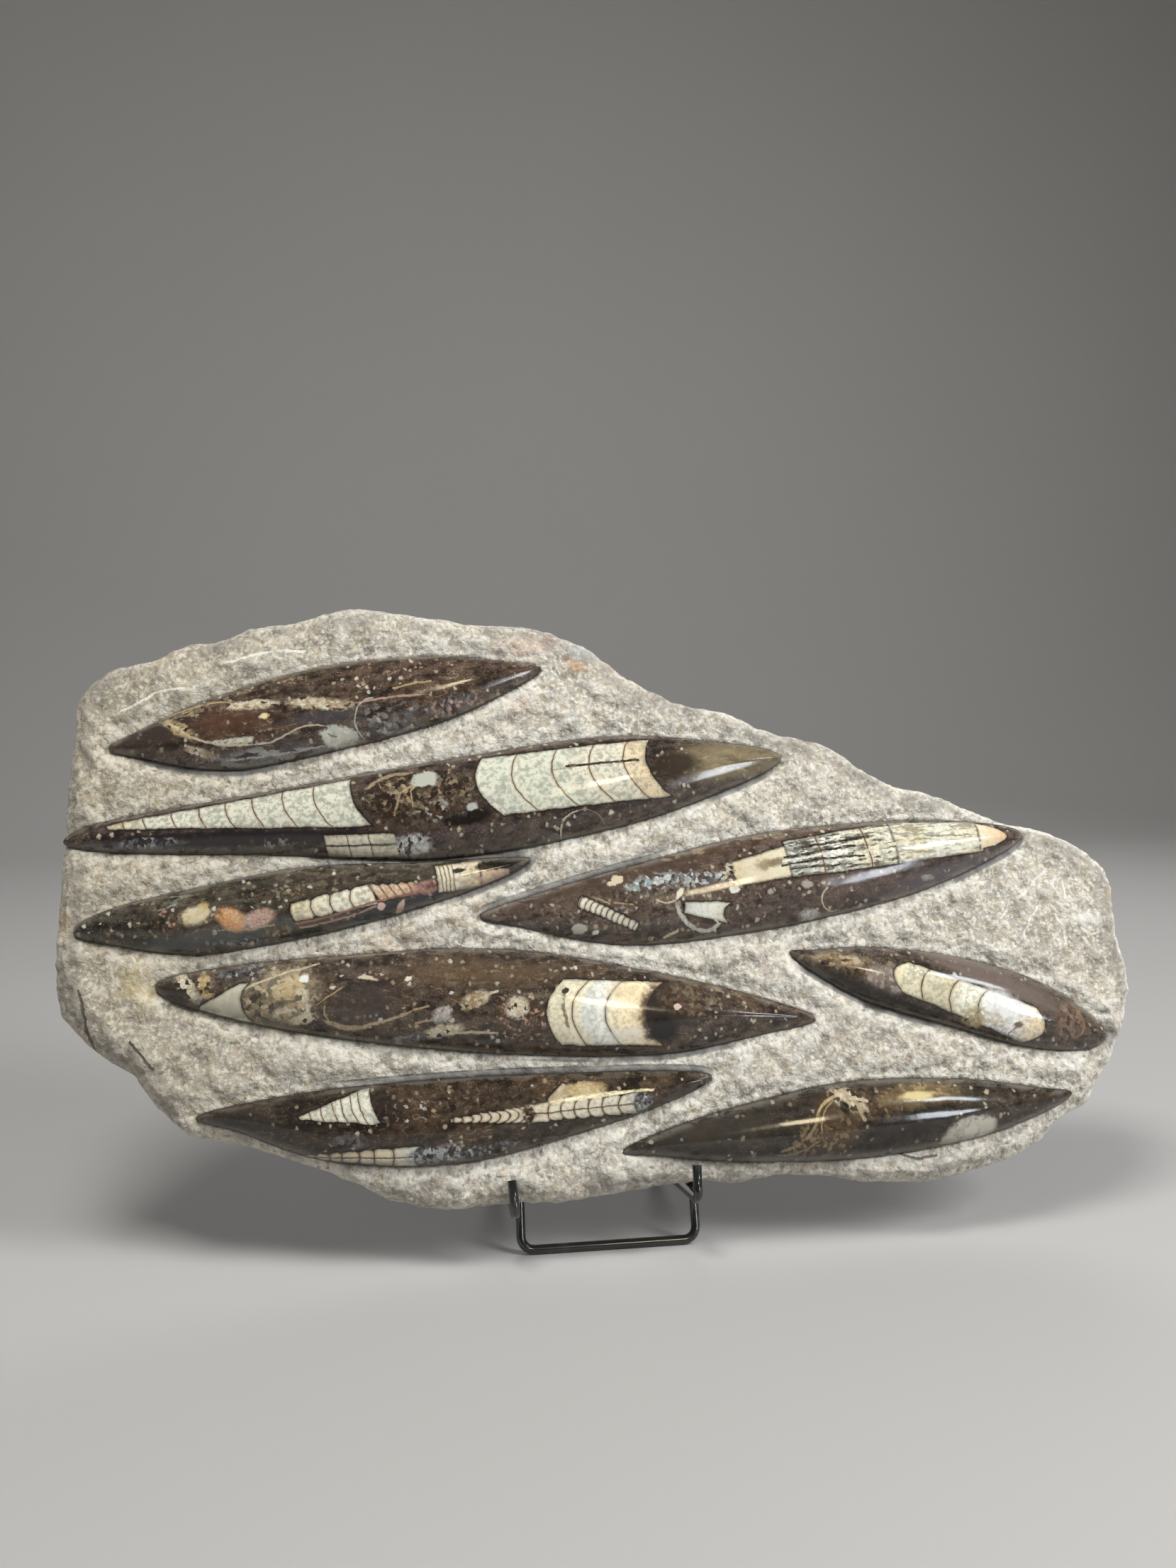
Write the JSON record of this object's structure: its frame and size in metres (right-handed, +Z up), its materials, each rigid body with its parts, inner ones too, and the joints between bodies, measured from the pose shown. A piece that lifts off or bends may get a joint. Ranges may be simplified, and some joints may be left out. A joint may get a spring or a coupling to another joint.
{
  "type": "orthoceras fossil plate on a wire stand",
  "caption": "Chiselled limestone slab with long polished orthoceras shells standing out of its face, leaning back on a black bent-wire display stand.",
  "frame": {"origin": "middle of the footprint of the whole object, on the surface that the stand rests on", "axes": "+X along the slab's width to the viewer's right, +Y from the slab's face to its back, +Z up"},
  "size_m": [0.541, 0.1275, 0.3119],
  "materials": {
    "stone": "chiselled matrix with polished dark shells",
    "black_paint": "gloss black"
  },
  "bodies": {
    "root": {"slab": "stone", "wire_stand": "black_paint"}
  },
  "joints": []
}
